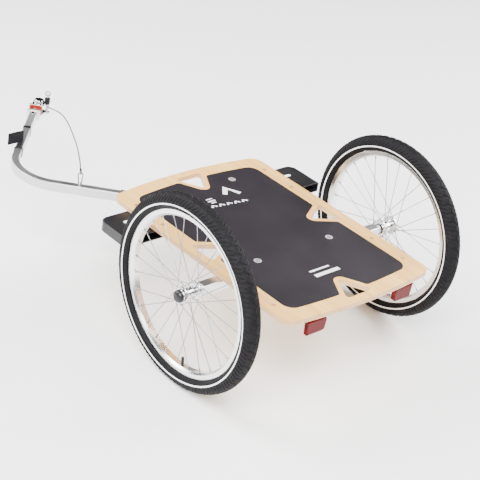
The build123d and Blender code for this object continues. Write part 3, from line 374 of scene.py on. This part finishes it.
def platedSteel(name, color, roughness, scale):
    finish = Finish(name, color, roughness, 1.0)
    spots = finish.noise(scale, 5.0)
    low = tuple(0.86 * part for part in color)
    finish.join("Base Color", finish.mix(finish.spread(spots, 0.0, 1.0, 0.35, 0.65), low, color))
    finish.join("Roughness", finish.spread(spots, roughness - 0.06, roughness + 0.1, 0.3, 0.7))
    return finish.bump(spots, 0.00004, 0.2).material


def mouldedPlastic(name, color, roughness, grain, depth):
    # Fine spark-eroded grain with faint rubbed patches.
    finish = Finish(name, color, roughness)
    finish.set("Specular IOR Level", 0.4)
    rub = finish.noise(14.0, 4.0)
    light = tuple(1.4 * part + 0.001 for part in color)
    finish.join("Base Color", finish.mix(finish.spread(rub, 0.0, 0.7, 0.45, 0.75), color, light))
    finish.join("Roughness", finish.spread(rub, roughness - 0.05, roughness + 0.08, 0.3, 0.7))
    return finish.bump(finish.cells(grain), depth, 0.35).material


def tyreRubber(stripe, profileEnd):
    # stripe is the reflective band on each side, as two shares of the outer profile.
    finish = Finish("tyreRubber", (0.022, 0.020, 0.023), 0.62)
    share = finish.math("DIVIDE", finish.axes(uv=True)["Y"], profileEnd)
    fromSide = finish.math("MINIMUM", share, finish.math("SUBTRACT", 1.0, share))
    low, high = stripe
    after = finish.math("GREATER_THAN", fromSide, low)
    before = finish.math("LESS_THAN", fromSide, high)
    between = finish.math("MULTIPLY", after, before)
    onStripe = finish.math("MULTIPLY", between, finish.math("GREATER_THAN", share, 0.0))
    dust = finish.noise(60.0, 5.0)
    finish.set("Specular IOR Level", 0.12)
    dusty = finish.spread(dust, 0.0, 1.0, 0.35, 0.75)
    rubber = finish.mix(dusty, (0.0040, 0.0035, 0.0043), (0.0075, 0.0067, 0.0079))
    finish.join("Base Color", finish.mix(onStripe, rubber, (0.84, 0.85, 0.86)))
    finish.join("Roughness", finish.mix(onStripe, (0.60, 0.60, 0.60), (0.30, 0.30, 0.30)))
    pores = finish.noise(420.0, 3.0)
    return finish.bump(pores, 0.0002, 0.25).material


def softRubber(name, color, roughness):
    finish = Finish(name, color, roughness)
    finish.set("Specular IOR Level", 0.3)
    bloom = finish.noise(90.0, 5.0)
    light = tuple(1.25 * part + 0.0015 for part in color)
    finish.join("Base Color", finish.mix(finish.spread(bloom, 0.0, 0.8, 0.4, 0.75), color, light))
    finish.join("Roughness", finish.spread(bloom, roughness - 0.06, roughness + 0.08, 0.3, 0.7))
    return finish.bump(bloom, 0.00015, 0.3).material


def redLens():
    # Small prisms behind clear red plastic, in rows; each prism's colour is painted darker towards its
    # edge, as shade between the prisms.
    finish = Finish("redLens", (0.20, 0.003, 0.004), 0.16)
    cells = finish.cells(260.0, 0.0)
    # painted shade: darker towards the edge of each prism cell
    prismEdgeShade = finish.spread(cells, 0.0, 1.0, 0.15, 0.75)
    tone = finish.mix(prismEdgeShade, (0.16, 0.0010, 0.0010), (0.03, 0.0002, 0.0003))
    finish.join("Base Color", tone)
    finish.join("Roughness", finish.spread(finish.noise(40.0), 0.12, 0.24))
    finish.set("Specular IOR Level", 0.14)
    return finish.bump(cells, 0.0008, 0.4).material


def paintedMetal(name, color, roughness):
    finish = Finish(name, color, roughness)
    orange = finish.noise(180.0, 2.0)
    wear = finish.noise(30.0, 6.0)
    worn = tuple(0.82 * part for part in color)
    finish.join("Base Color", finish.mix(finish.spread(wear, 0.0, 0.8, 0.5, 0.8), color, worn))
    finish.join("Roughness", finish.spread(wear, roughness - 0.05, roughness + 0.1, 0.3, 0.7))
    return finish.bump(orange, 0.00008, 0.25).material


def wovenNylon(name, color, across, along):
    # Plain weave on the piece's own parameters: threads go over and under in turn. Where the threads
    # rise the colour is painted lighter, as highlight, and between them darker, as shade.
    finish = Finish(name, color, 0.8)
    axes = finish.axes(uv=True)
    turn = 2 * math.pi
    over = finish.math("SINE", finish.math("MULTIPLY", axes["X"], turn * across))
    under = finish.math("SINE", finish.math("MULTIPLY", axes["Y"], turn * along))
    weaveAndHighlight = finish.math("MULTIPLY", over, under)
    fuzz = finish.noise(700.0, 3.0)
    light = tuple(2.0 * part + 0.002 for part in color)
    # painted highlight on the thread crowns and painted shade between them, following the weave
    finish.join("Base Color", finish.mix(finish.spread(weaveAndHighlight, 0.0, 1.0, -0.6, 0.9), color, light))
    finish.join("Roughness", finish.spread(fuzz, 0.7, 0.92))
    finish.set("Specular IOR Level", 0.15)
    finish.set("Sheen Weight", 0.02)
    finish.set("Sheen Roughness", 0.5)
    return finish.bump(weaveAndHighlight, 0.0003, 0.5).material


def strandedSteel(turns):
    # Wire strands wound round the cable, under a thin clear sleeve; the grooves between the strands
    # are painted dark, as shade.
    finish = Finish("strandedSteel", (0.30, 0.30, 0.32), 0.34, 0.85)
    axes = finish.axes(uv=True)
    wound = finish.math("MULTIPLY_ADD", axes["X"], turns, finish.math("MULTIPLY", axes["Y"], 6.0))
    strand = finish.math("PINGPONG", wound, 0.5)
    # painted shade: the colour is darkened in the grooves between the strands
    grooveShadeMask = finish.spread(strand, 0.0, 1.0, 0.0, 0.35)
    tone = finish.mix(grooveShadeMask, (0.08, 0.08, 0.085), (0.30, 0.30, 0.32))
    finish.join("Base Color", tone)
    finish.join("Roughness", finish.spread(finish.noise(50.0), 0.28, 0.42))
    finish.set("Coat Weight", 0.2)
    finish.set("Coat Roughness", 0.12)
    return finish.bump(strand, 0.0003, 0.5).material


deckLow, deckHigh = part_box("deck_panel")
tyreLow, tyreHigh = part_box("tyre_left")
axlePlace = (tyreLow + tyreHigh) / 2
axleCentre = (axlePlace.x, axlePlace.z)

birch = birchPly(deckHigh.z, deckHigh.z - deckLow.z, plyValues)
film = deckFilm()
# The arm's faces are level or upright, so streaks level with the ground follow every bend of it.
armMetal = brushedMetal("armMetal", (0.66, 0.66, 0.67), 0.40, (9.0, 9.0, 1500.0))
endMetal = brushedMetal("endMetal", (0.78, 0.78, 0.78), 0.44, (9.0, 9.0, 1700.0))
tubeMetal = brushedMetal("tubeMetal", (0.84, 0.84, 0.85), 0.34, (1300.0, 7.0, 1300.0))
rimMetal = ringMetal("rimMetal", (0.90, 0.90, 0.90), 0.24, axleCentre, 700.0)
hubMetal = ringMetal("hubMetal", (0.86, 0.86, 0.87), 0.18, axleCentre, 900.0)
spokeSteel = platedSteel("spokeSteel", (0.34, 0.34, 0.36), 0.32, 300.0)
zincSteel = platedSteel("zincSteel", (0.78, 0.78, 0.78), 0.34, 160.0)
chromeSteel = platedSteel("chromeSteel", (0.50, 0.50, 0.52), 0.14, 80.0)
darkSteel = platedSteel("darkSteel", (0.22, 0.22, 0.23), 0.24, 120.0)
washerSteel = platedSteel("washerSteel", (0.95, 0.95, 0.93), 0.55, 220.0)
guardPlastic = mouldedPlastic("guardPlastic", (0.0085, 0.0080, 0.0090), 0.38, 900.0, 0.0003)
capPlastic = mouldedPlastic("capPlastic", (0.006, 0.006, 0.007), 0.30, 1400.0, 0.00012)
knobPlastic = mouldedPlastic("knobPlastic", (0.009, 0.009, 0.010), 0.48, 1000.0, 0.0003)
markerWhite = mouldedPlastic("markerWhite", (0.80, 0.81, 0.82), 0.30, 1200.0, 0.0001)
blackRubber = softRubber("blackRubber", (0.008, 0.008, 0.009), 0.58)
redRubber = softRubber("redRubber", (0.16, 0.002, 0.0015), 0.5)
lensRed = redLens()
creamPaint = paintedMetal("creamPaint", (0.74, 0.66, 0.46), 0.36)
flapNylon = wovenNylon("flapNylon", (0.0040, 0.0036, 0.0050), 26.0, 20.0)
loopNylon = wovenNylon("loopNylon", (0.010, 0.010, 0.012), 60.0, 6.0)

nodeFinish = {
    "deck_panel": birch, "deck_inlay": film,
    "cup_washers": washerSteel, "deck_bolts": zincSteel, "lock_nuts": zincSteel,
    "axle_pads": blackRubber, "axle_tube": tubeMetal, "axle_receivers": tubeMetal,
    "front_strap": zincSteel, "strap_spacer": zincSteel, "pivot_washers": zincSteel,
    "guard_markers": markerWhite, "reflector_brackets": zincSteel,
    "arm_tube": armMetal, "arm_end_tube": endMetal, "arm_collar": capPlastic,
    "arm_pad": blackRubber, "arm_eye": zincSteel, "clamp_stud": zincSteel,
    "clamp_knob": knobPlastic, "hitch_plug": zincSteel, "hitch_bolt": chromeSteel,
    "pin_sleeve": blackRubber, "flex_plate_rear": creamPaint, "flex_plate_front": creamPaint,
    "flex_cross": zincSteel, "hitch_head": chromeSteel, "lock_pin": chromeSteel,
    "pull_ring": darkSteel, "cable_fitting": chromeSteel, "cable_end": darkSteel,
    "snap_link": darkSteel,
}
for side in ("left", "right"):
    nodeFinish.update({
        "wheel_guard_" + side: guardPlastic, "rear_reflector_" + side: lensRed,
        "rim_" + side: rimMetal, "hub_" + side: hubMetal, "spokes_" + side: spokeSteel,
        "hub_bearings_" + side: zincSteel, "hub_seal_" + side: blackRubber,
        "valve_" + side: blackRubber, "axle_pin_" + side: hubMetal,
        "axle_cap_" + side: capPlastic, "push_button_" + side: knobPlastic,
    })
for name, finish in nodeFinish.items():
    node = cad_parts[name]
    node.data.materials.clear()
    node.data.materials.append(finish)
print("finishes set on", len(nodeFinish), "nodes")

# Safety cable: a tube along the spline of its route.
cableValues = {
    "diameter": 0.004,
    "sides": 10,
    "turnsPerMetre": 90.0,
    "bendShare": 0.45,
    "splineOrder": 3,
    "pointsPerSpan": 10,
}
# control points in metres, counted forwards from the wheels' axis
cableRoute = [
    (0.975, 0.0775, 0.256),
    (0.939, 0.0715, 0.260),
    (0.893, 0.081, 0.2655),
    (0.845, 0.101, 0.2705),
    (0.7965, 0.124, 0.275),
    (0.747, 0.1495, 0.2795),
    (0.697, 0.176, 0.2835),
    (0.647, 0.205, 0.2875),
    (0.606, 0.231, 0.291),
    (0.581, 0.2475, 0.294),
    (0.5574, 0.2632, 0.2956),
]


def splinePoints(route, values):
    # The smooth line whose control points are the route.
    data = bpy.data.curves.new("cableLine", "CURVE")
    data.dimensions = "3D"
    data.resolution_u = values["pointsPerSpan"]
    spline = data.splines.new("NURBS")
    spline.points.add(len(route) - 1)
    for point, place in zip(spline.points, route):
        point.co = (*place, 1.0)
    spline.order_u = values["splineOrder"]
    spline.use_endpoint_u = True
    line = bpy.data.objects.new("cableLine", data)
    mesh = bpy.data.meshes.new_from_object(line)
    points = np.zeros(len(mesh.vertices) * 3)
    mesh.vertices.foreach_get("co", points)
    bpy.data.objects.remove(line)
    bpy.data.meshes.remove(mesh)
    return points.reshape(-1, 3)


def tubeGrid(line, radius, sides):
    # A circle carried along the line, held level by the upward direction.
    ahead = np.gradient(line, axis=0)
    ahead /= np.linalg.norm(ahead, axis=1)[:, None]
    across = np.cross(ahead, (0.0, 0.0, 1.0))
    across /= np.linalg.norm(across, axis=1)[:, None]
    upward = np.cross(across, ahead)
    turn = np.linspace(0, 2 * math.pi, sides, endpoint=False)[None, :, None]
    circle = np.cos(turn) * across[:, None] + np.sin(turn) * upward[:, None]
    return line[:, None] + radius * circle


def makeCable(values):
    route = [(axlePlace.x + x, y, z) for x, y, z in cableRoute]
    line = splinePoints(route, values)
    length = float(np.linalg.norm(np.diff(line, axis=0), axis=1).sum())
    grid = tubeGrid(line, values["diameter"] / 2, values["sides"])
    mesh = meshFromGrid("safetyCable", grid, False, True)
    closeEnds(mesh, *grid.shape[:2])
    steel = strandedSteel(values["turnsPerMetre"] * length)
    cable = addPiece("safetyCable", mesh, steel, None, ["safety_cable"])
    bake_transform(cable)
    print("cable", round(length, 4), "m long")


makeCable(cableValues)

# Tyres: a closed profile turned about the axle, with cut tread and a bright band.
tyreValues = {
    "radius": 0.250,
    "halfWidth": 0.023,
    "bead": 0.2107,
    "beadHalf": 0.0105,
    "beadInset": 0.9,
    "inner": 0.2468,
    "around": 1320,
    "outside": 60,
    "inside": 10,
    "lugs": 132,
    "lean": 1.5,
    "depth": 0.0021,
    "stripe": (0.125, 0.160),
    # widths of the tread, as shares of half the profile: where the shoulder starts and the tread ends
    "shoulder": 0.30,
    "treadEnd": (0.62, 0.05),
    # widths of the grooves between bars, as shares of their pitch, and of their sloping sides
    "shoulderGroove": 0.20,
    "middleGroove": 0.13,
    "grooveSide": 0.09,
    # the middle's bars: pitches for each lug, lean, and the shift from one side to the other
    "middlePitch": 0.5,
    "middleLean": 0.8,
    "middleShift": 0.25,
    # the zigzag's place and swing, then the width and sloping side of each line
    "zigzag": (0.10, 0.045),
    "zigzagLine": (0.022, 0.012),
    "splitLine": (0.018, 0.01),
    "splitDepth": 0.7,
}


def softEdge(distance, width, side):
    # 1 where the distance is well inside the width, falling to 0 over the side.
    return np.clip((width - distance) / side, 0, 1)


def treadDepth(angle, share, values):
    # share is -1 to 1 across the tyre. Slanted bars on each shoulder meet a zigzag line in the middle.
    side = np.abs(share)
    phase = angle * values["lugs"] / (2 * math.pi)
    shoulder = np.mod(phase + values["lean"] * side * 2, 1.0)
    slant = values["middleLean"] * side * 2
    shift = values["middleShift"] * np.sign(share)
    middle = np.mod(phase * values["middlePitch"] + slant + shift, 1.0)
    place, swing = values["zigzag"]
    zigzag = place + swing * np.sin(angle * values["lugs"] / 2)

    def groove(value, width):
        return softEdge(np.minimum(value, 1 - value), width, values["grooveSide"])

    outer = groove(shoulder, values["shoulderGroove"])
    bars = np.where(side > values["shoulder"], outer, groove(middle, values["middleGroove"]))
    ring = softEdge(np.abs(side - zigzag), *values["zigzagLine"])
    split = softEdge(np.abs(side - values["shoulder"]), *values["splitLine"]) * values["splitDepth"]
    fade = softEdge(side, *values["treadEnd"])
    return values["depth"] * fade * np.maximum(np.maximum(bars, ring), split)


def tyreGrid(values, centre):
    middle = values["radius"] - values["halfWidth"]
    start = math.acos((values["bead"] - middle) / values["halfWidth"])
    swing = np.linspace(-start, start, values["outside"])
    angle = np.linspace(0, 2 * math.pi, values["around"], endpoint=False)
    turn, lean = np.meshgrid(angle, swing, indexing="ij")
    cut = treadDepth(turn, lean / start, values)
    reach = values["halfWidth"] - cut
    outer = np.stack([middle + reach * np.cos(lean), reach * np.sin(lean)], -1)
    # The inner wall closes the profile from bead to bead.
    back = np.linspace(1, -1, values["inside"])
    rise = (values["inner"] - values["bead"]) * np.sqrt(1 - back**2)
    inner = np.stack([values["bead"] + rise, values["beadHalf"] * values["beadInset"] * back], -1)
    inner = np.broadcast_to(inner, (values["around"], values["inside"], 2))
    section = np.concatenate([outer, inner], 1)
    turn = angle[:, None]
    x = centre.x + section[..., 0] * np.cos(turn)
    z = centre.z + section[..., 0] * np.sin(turn)
    return np.stack([x, centre.y + section[..., 1], z], -1)


def makeTyre(side, values):
    low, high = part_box("tyre_" + side)
    grid = tyreGrid(values, (low + high) / 2)
    mesh = meshFromGrid("tyre_" + side + "_tread", grid, True, True)
    pointOutwards(mesh)
    addPiece("tyreTread_" + side, mesh, tyreFinish, "wheel_" + side, ["tyre_" + side])


outsideShare = (tyreValues["outside"] - 0.5) / (tyreValues["outside"] + tyreValues["inside"])
tyreFinish = tyreRubber(tyreValues["stripe"], outsideShare)
for side in ("left", "right"):
    makeTyre(side, tyreValues)
print("tyres made")

# The point on the arm's end that lengths are counted from, and the ways along and across it.
endPlace = Vector((0.581847, 0.137920))
endAlong = Vector((0.725374, -0.688355))
endAcross = Vector((0.688355, 0.725374))
armLow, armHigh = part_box("arm_end_tube")
armMiddle = (armLow.z + armHigh.z) / 2


def endPoints(along, across, height):
    # Places from lengths along and across the arm's end, and up from its middle.
    x = endPlace.x + along * endAlong.x + across * endAcross.x
    y = endPlace.y + along * endAlong.y + across * endAcross.y
    return np.stack(np.broadcast_arrays(x, y, armMiddle + height), -1)


def roundedBox(turn, halfWide, halfHigh, power):
    # A superellipse: the sine and cosine are raised to 2 / power.
    wide = np.sign(np.cos(turn)) * np.abs(np.cos(turn)) ** (2 / power) * halfWide
    high = np.sign(np.sin(turn)) * np.abs(np.sin(turn)) ** (2 / power) * halfHigh
    return wide, high


# Flexible hitch block: a red hourglass that bends between its two plates.
blockValues = {
    "start": 0.006,
    "length": 0.030,
    "halfWide": 0.0185,
    "halfHigh": 0.0150,
    "waist": 0.0040,
    "waistPower": 1.3,
    "waistHigh": 0.8,
    "cavityWide": 0.0140,
    "cavityHigh": 0.0120,
    "power": 7.0,
    "sharpAngle": 50,
    "around": 96,
    "rings": 16,
}


def makeBlock(values, name, first, last, replaced):
    # Part of the block's length, from the share first to the share last. The outline draws in
    # by waist times the sine of the place, to the power waistPower.
    turn = np.linspace(0, 2 * math.pi, values["around"], endpoint=False)[:, None]
    share = np.linspace(first, last, values["rings"])
    pinch = values["waist"] * np.sin(math.pi * share) ** values["waistPower"]
    halfHigh = values["halfHigh"] - pinch * values["waistHigh"]
    outWide, outHigh = roundedBox(turn, values["halfWide"] - pinch, halfHigh, values["power"])
    level = np.ones(values["rings"])
    cavity = (values["cavityWide"] * level, values["cavityHigh"] * level)
    inWide, inHigh = roundedBox(turn, *cavity, values["power"])
    along = values["start"] + values["length"] * np.concatenate([share, share[::-1]])
    along = np.broadcast_to(along, (values["around"], 2 * values["rings"]))
    wide = np.concatenate([outWide, inWide[:, ::-1]], 1)
    high = np.concatenate([outHigh, inHigh[:, ::-1]], 1)
    mesh = meshFromGrid(name, endPoints(along, wide, high), True, True)
    pointOutwards(mesh)
    mesh.set_sharp_from_angle(angle=math.radians(values["sharpAngle"]))
    block = addPiece(name, mesh, redRubber, None, replaced)
    reach = [values["start"] + values["length"] * place for place in (first, last)]
    ends = [endPoints(along, 0.0, 0.0) for along in reach]
    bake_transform(block)


# The block is made as two halves, rear and front.
makeBlock(blockValues, "flexBlockRear", 0.0, 0.5, ["flex_block"])
makeBlock(blockValues, "flexBlockFront", 0.5, 1.0, [])

# Woven flap standing on the arm, its tail, and the elastic loop that holds it.
flapValues = {
    "along": -0.2075,
    "reach": 0.049,
    "overhang": 0.0065,
    "height": 0.034,
    "wall": 0.0032,
    "bow": 0.0016,
    "tailWide": 0.0095,
    "tailWall": 0.0019,
    "tailLap": 0.002,
    "tailPower": 6.0,
    "tailColumns": 24,
    "power": 9.0,
    "endShare": 0.05,
    "endDrop": 0.08,
    "sharpAngle": 60,
    "columns": 40,
    "around": 64,
}


def makeFlap(values):
    # An upright strap: its section is a thin superellipse, and it bows with the sine of the way along.
    # Over endShare of its length at each end it thins and loses endDrop of its height.
    top = armHigh.z - armMiddle
    foot = endPoints(values["along"], 0.0, top)
    share = np.linspace(0, 1, values["columns"])[:, None]
    turn = np.linspace(0, 2 * math.pi, values["around"], endpoint=False)[None, :]
    ends = np.clip(np.minimum(share, 1 - share) / values["endShare"], 0, 1)
    rounded = 1 - values["endDrop"] * (1 - np.sqrt(1 - (1 - ends) ** 2))
    thick, high = roundedBox(turn, values["wall"] / 2, values["height"] / 2, values["power"])
    x = foot[0] + thick * np.sqrt((1 + ends) / 2) + values["bow"] * np.sin(math.pi * share)
    y = foot[1] - values["overhang"] + values["reach"] * share
    z = foot[2] + values["height"] / 2 + high * rounded
    points = np.stack(np.broadcast_arrays(x, y, z), -1)
    mesh = meshFromGrid("strapFlap", points, False, True)
    closeEnds(mesh, values["columns"], values["around"])
    mesh.set_sharp_from_angle(angle=math.radians(values["sharpAngle"]))
    flap = addPiece("strapFlap", mesh, flapNylon, "arm", ["webbing_flap"])
    # The tail runs on the arm's top from the flap to the loop.
    tailEnd = loopValues["along"] + values["tailLap"]
    along = np.linspace(values["along"], tailEnd, values["tailColumns"])[:, None]
    halfWall = values["tailWall"] / 2
    wide, high = roundedBox(turn, values["tailWide"] / 2, halfWall, values["tailPower"])
    tail = meshFromGrid("strapTail", endPoints(along, wide, top + halfWall + high), False, True)
    closeEnds(tail, values["tailColumns"], values["around"])
    tailPiece = addPiece("strapTail", tail, flapNylon, "arm")


loopValues = {
    "along": -0.243,
    "width": 0.0062,
    "wall": 0.0021,
    "halfWide": 0.0100,
    "halfHigh": 0.0130,
    "corner": 0.0022,
    "walk": 1.9,
    "power": 3.5,
    "around": 120,
    "section": 24,
}


def makeLoop(values):
    # The path is a rounded rectangle: an oval, walk times too large, is cut off at the four sides,
    # and the corners are quarter circles about where the cuts meet.
    turn = np.linspace(0, 2 * math.pi, values["around"], endpoint=False)[:, None]
    lean = np.linspace(0, 2 * math.pi, values["section"], endpoint=False)[None, :]
    side, out = roundedBox(lean, values["width"] / 2, values["wall"] / 2, values["power"])
    innerWide = values["halfWide"] - values["corner"]
    innerHigh = values["halfHigh"] - values["corner"]
    wide = np.clip(np.cos(turn) * values["walk"] * values["halfWide"], -innerWide, innerWide)
    high = np.clip(np.sin(turn) * values["walk"] * values["halfHigh"], -innerHigh, innerHigh)
    overUnder = np.sign(np.sin(turn)) * math.pi / 2
    leftRight = np.where(np.cos(turn) > 0, 0, math.pi)
    atSides = np.where(np.abs(high) < innerHigh, leftRight, turn)
    angle = np.where(np.abs(wide) < innerWide, overUnder, atSides)
    reach = values["corner"] + (values["wall"] / 2 + out)
    across = wide + reach * np.cos(angle)
    height = high + reach * np.sin(angle)
    points = endPoints(values["along"] + side, across, height)
    mesh = meshFromGrid("elasticLoop", points, True, True)
    pointOutwards(mesh)
    addPiece("elasticLoop", mesh, loopNylon, "arm", ["webbing_loop"])


makeLoop(loopValues)
makeFlap(flapValues)
print("block and webbing made")

# Plain marks printed on the deck.
printValues = {
    "lift": 0.00025,
    "wall": 0.00015,
    "color": (0.78, 0.78, 0.78),
    # each mark is an outline around the wheels' axis, in millimetres: x forward, y left
    "marks": [
        [(336, -47), (303, -20), (295, -30), (318, -50), (284, -62), (289, -74)],
        [(300, 22), (300, 42), (296, 42), (296, 22)],
        [(290, 20), (290, 44), (285, 44), (285, 20)],
        [(280, 24), (280, 40), (276, 40), (276, 24)],
        [(-100, 44), (-100, -22), (-106, -22), (-106, 44)],
        [(-118, 44), (-118, -38), (-130, -38), (-130, 44)],
    ],
    # centres of the row of small icons, each two dots and a slanted bar, and the bar's corners
    "icons": [(262, 45), (259, 21), (256, -3), (253, -27), (250, -51)],
    "bar": [(5, -3), (7, 4), (1, 4.5), (-1, -4.5)],
    "dotApart": 6.5,
    "dotBack": 2,
    "dot": 3.2,
    "dotSides": 20,
}


def disc(x, y, radius, sides):
    turns = np.linspace(0, 2 * math.pi, sides, endpoint=False)
    return [(x + radius * math.cos(turn), y + radius * math.sin(turn)) for turn in turns]


def makePrints(values):
    low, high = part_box("deck_inlay")
    outlines = list(values["marks"])
    for x, y in values["icons"]:
        for aside in (-values["dotApart"], values["dotApart"]):
            outlines.append(disc(x - values["dotBack"], y + aside, values["dot"], values["dotSides"]))
        outlines.append([(x + dx, y + dy) for dx, dy in values["bar"]])
    verts = []
    faces = []
    for outline in outlines:
        start = len(verts)
        for level in (values["lift"] - values["wall"], values["lift"]):
            verts += [(axlePlace.x + x / 1000, y / 1000, high.z + level) for x, y in outline]
        count = len(outline)
        faces.append(list(range(start + count, start + 2 * count)))
        faces.append(list(range(start + count - 1, start - 1, -1)))
        for i in range(count):
            after = (i + 1) % count
            faces.append([start + i, start + after, start + count + after, start + count + i])
    mesh = bpy.data.meshes.new("deckPrints")
    mesh.from_pydata(verts, [], faces)
    pointOutwards(mesh)
    ink = Finish("printInk", values["color"], 0.45)
    worn = ink.noise(220.0, 4.0)
    rubbed = ink.spread(worn, 0.0, 0.8, 0.5, 0.8)
    ink.join("Base Color", ink.mix(rubbed, values["color"], (0.45, 0.44, 0.45)))
    ink.join("Roughness", ink.spread(worn, 0.38, 0.55))
    ink.bump(worn, 0.00004, 0.2)
    addPiece("deckPrints", mesh, ink.material, "frame")


makePrints(printValues)
